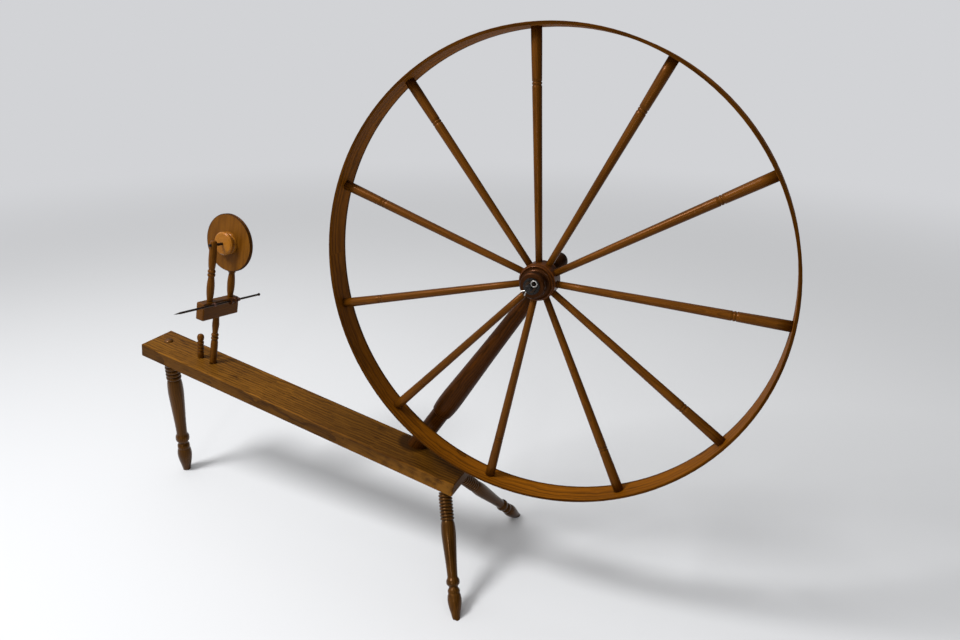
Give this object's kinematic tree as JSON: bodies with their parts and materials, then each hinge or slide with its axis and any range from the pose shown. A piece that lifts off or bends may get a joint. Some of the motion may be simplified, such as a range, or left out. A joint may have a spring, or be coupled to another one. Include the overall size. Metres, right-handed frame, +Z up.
{
  "type": "spinning wheel",
  "caption": "Great spinning wheel: a large spoked wheel on a leaning post over a sloping bed on splayed legs, with an accelerating disc and iron spindle on a swivelling head",
  "frame": {"origin": "on the floor under the middle of the whole object", "axes": "+Z up, +X along the bed from the spindle's end to the drive wheel's end, -Y towards the spinner"},
  "size_m": [1.905, 0.492, 1.4856],
  "materials": {
    "bed_wood": "satin varnished light oak",
    "rim_wood": "satin varnished bent oak",
    "spoke_wood": "satin varnished turned wood",
    "hub_wood": "satin varnished reddish brown turned wood",
    "post_wood": "satin varnished dark brown turned wood",
    "leg_wood": "satin varnished brown turned wood",
    "head_wood": "satin varnished brown turned wood",
    "disc_wood": "satin varnished mid brown turned wood",
    "pulley_wood": "satin varnished golden brown turned wood",
    "whorl_wood": "dark turned wood",
    "black_iron": "dark worn iron",
    "worn_steel": "bright worn steel",
    "leather": "dark oiled leather"
  },
  "bodies": {
    "stand": {"bed": "bed_wood", "spindle_end_leg": "leg_wood", "leg_wedge": "leg_wood", "front_leg": "leg_wood", "rear_leg": "leg_wood", "wheel_post": "post_wood", "wheel_axle": "black_iron", "axle_collar": "black_iron", "axle_washer": "black_iron", "axle_nut": "worn_steel", "split_pin": "worn_steel", "bed_peg": "head_wood"},
    "drive_wheel": {"rim": "rim_wood", "spoke_01": "spoke_wood", "spoke_02": "spoke_wood", "spoke_03": "spoke_wood", "spoke_04": "spoke_wood", "spoke_05": "spoke_wood", "spoke_06": "spoke_wood", "spoke_07": "spoke_wood", "spoke_08": "spoke_wood", "spoke_09": "spoke_wood", "spoke_10": "spoke_wood", "spoke_11": "spoke_wood", "hub": "hub_wood", "hub_bush": "black_iron"},
    "spindle_head": {"head_post": "head_wood", "head_pin": "leg_wood", "head_block": "head_wood", "front_upright": "head_wood", "rear_upright": "head_wood", "front_bearing": "leather", "rear_bearing": "leather"},
    "accelerating_wheel": {"accelerator_disc": "disc_wood", "accelerator_pulley": "pulley_wood", "accelerator_axle": "black_iron"},
    "spindle_shaft": {"spindle": "black_iron", "spindle_whorl": "whorl_wood"}
  },
  "joints": [
    {"name": "wheel_spin", "type": "hinge", "parent": "stand", "child": "drive_wheel", "pos_m": [0.38254, -0.02773, 0.9147], "axis": [0, -0.9971, 0.0767], "continuous": true},
    {"name": "head_swivel", "type": "hinge", "parent": "stand", "child": "spindle_head", "pos_m": [-0.68557, -0.02276, 0.4928], "axis": [0.1397, 0.1327, 0.9813], "range_deg": [-20, 20]},
    {"name": "accelerator_spin", "type": "hinge", "parent": "spindle_head", "child": "accelerating_wheel", "pos_m": [-0.63145, 0.02865, 0.87304], "axis": [0.0746, 0.9868, -0.144], "continuous": true},
    {"name": "spindle_spin", "type": "hinge", "parent": "spindle_head", "child": "spindle_shaft", "pos_m": [-0.63028, 0.00243, 0.69401], "axis": [0.0746, 0.9868, -0.144], "continuous": true}
  ]
}
